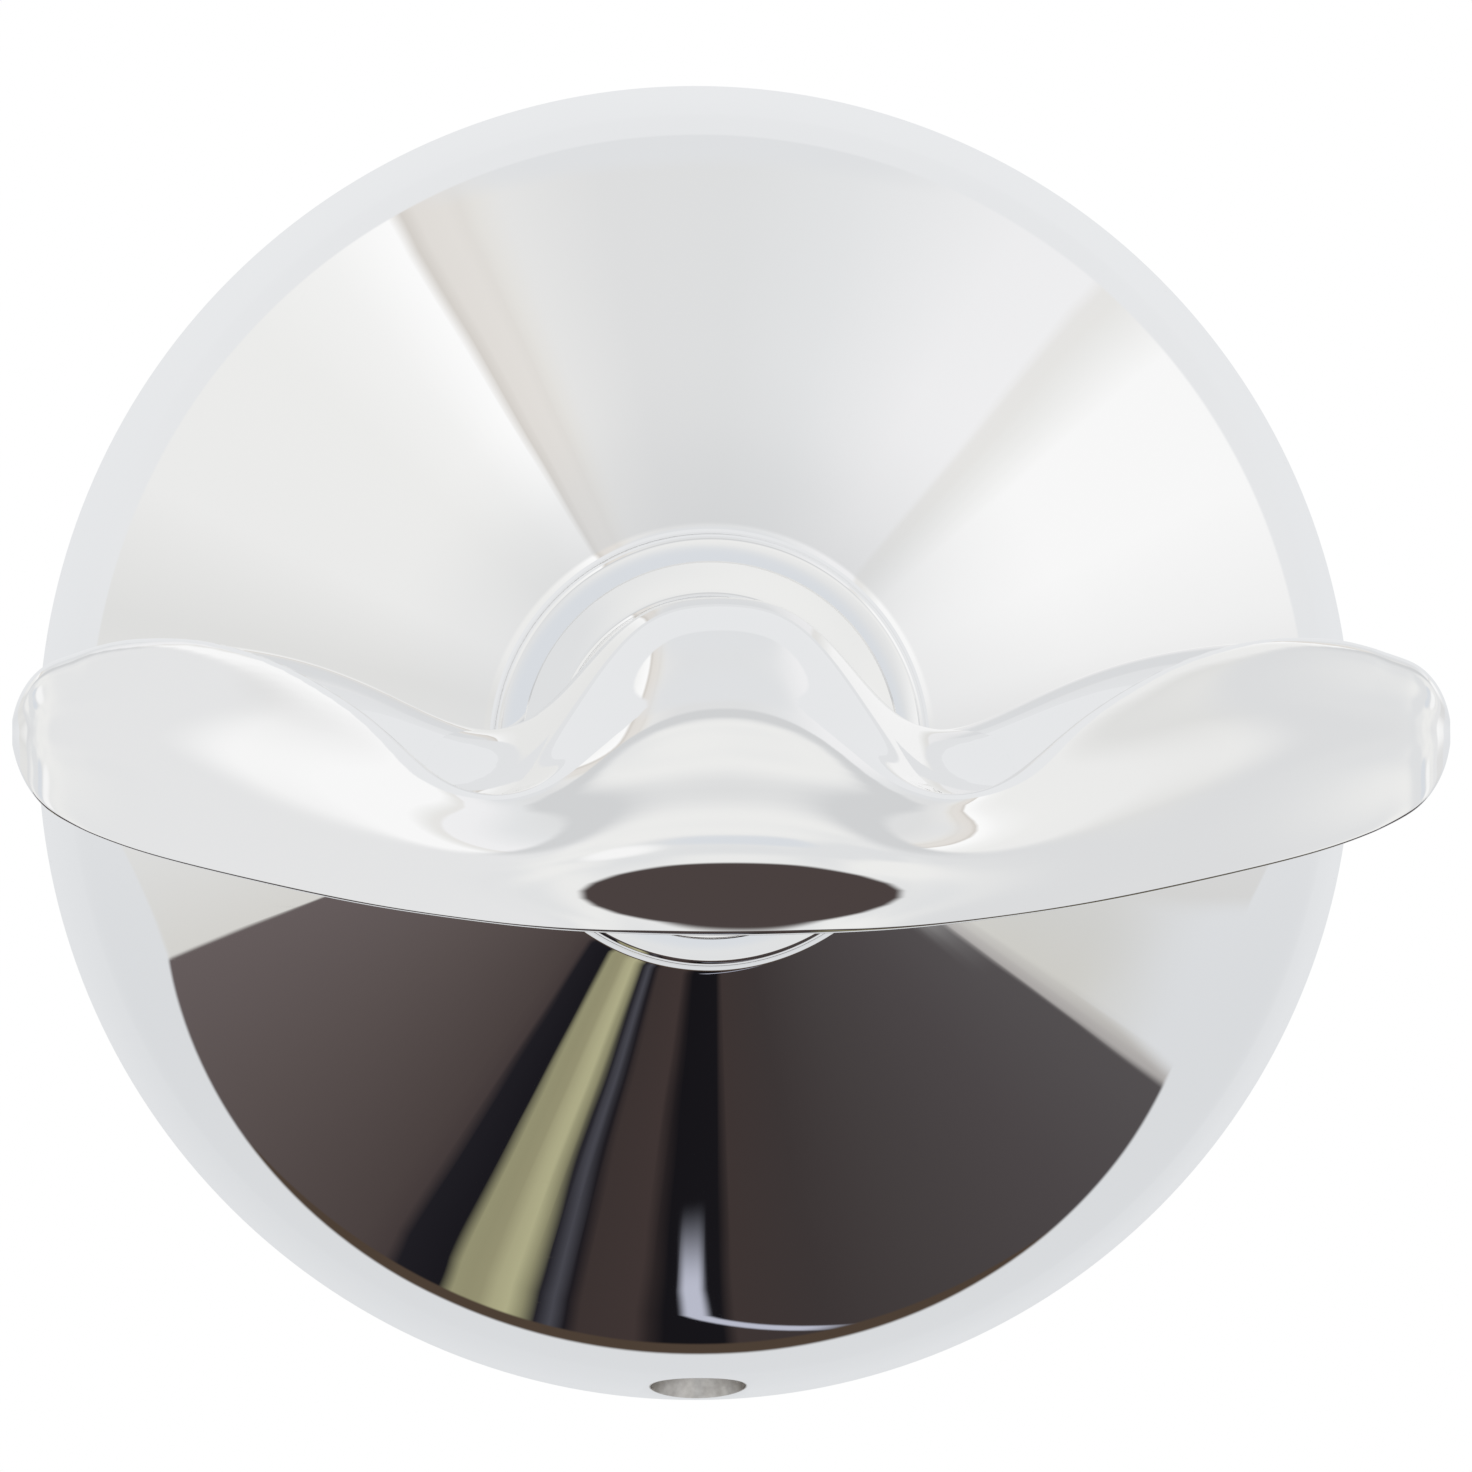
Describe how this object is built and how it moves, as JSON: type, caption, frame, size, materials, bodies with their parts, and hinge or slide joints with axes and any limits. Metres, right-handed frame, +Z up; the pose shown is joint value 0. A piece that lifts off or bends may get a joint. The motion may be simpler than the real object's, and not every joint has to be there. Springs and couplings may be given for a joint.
{
  "type": "double robe hook",
  "caption": "Round wall-mounted double robe hook: flared chrome cover, collar and a leaf-armed cast hook on a concealed bracket with a set screw.",
  "frame": {"origin": "middle of the bracket's back face, in the plane of the wall, on the axis of the hook's stem", "axes": "+Z up, +Y into the wall, so the hook stands out along -Y; +X to the right as seen from the room"},
  "size_m": [0.0562, 0.0698, 0.055],
  "materials": {
    "chrome": "polished",
    "zinc_plated_steel": "satin",
    "spring_steel": "satin",
    "stainless_steel": "satin",
    "bracket_zinc": "matte",
    "nylon": "matte"
  },
  "bodies": {
    "wall_side": {"wall_bracket": "bracket_zinc", "upper_wall_screw": "zinc_plated_steel", "lower_wall_screw": "zinc_plated_steel", "upper_wall_anchor": "nylon", "lower_wall_anchor": "nylon"},
    "cover": {"escutcheon": "chrome", "hook_body": "chrome", "hook_screw": "zinc_plated_steel", "flat_washer": "zinc_plated_steel", "spring_washer": "spring_steel", "locating_pin": "stainless_steel"},
    "set_screw": {"set_screw": "stainless_steel"}
  },
  "joints": [
    {"name": "cover_lift_off", "type": "slide", "parent": "wall_side", "child": "cover", "axis": [0, -1, 0], "range_m": [0, 0.025]},
    {"name": "set_screw_travel", "type": "slide", "parent": "cover", "child": "set_screw", "axis": [0, 0, -1], "range_m": [0, 0.0025]}
  ]
}
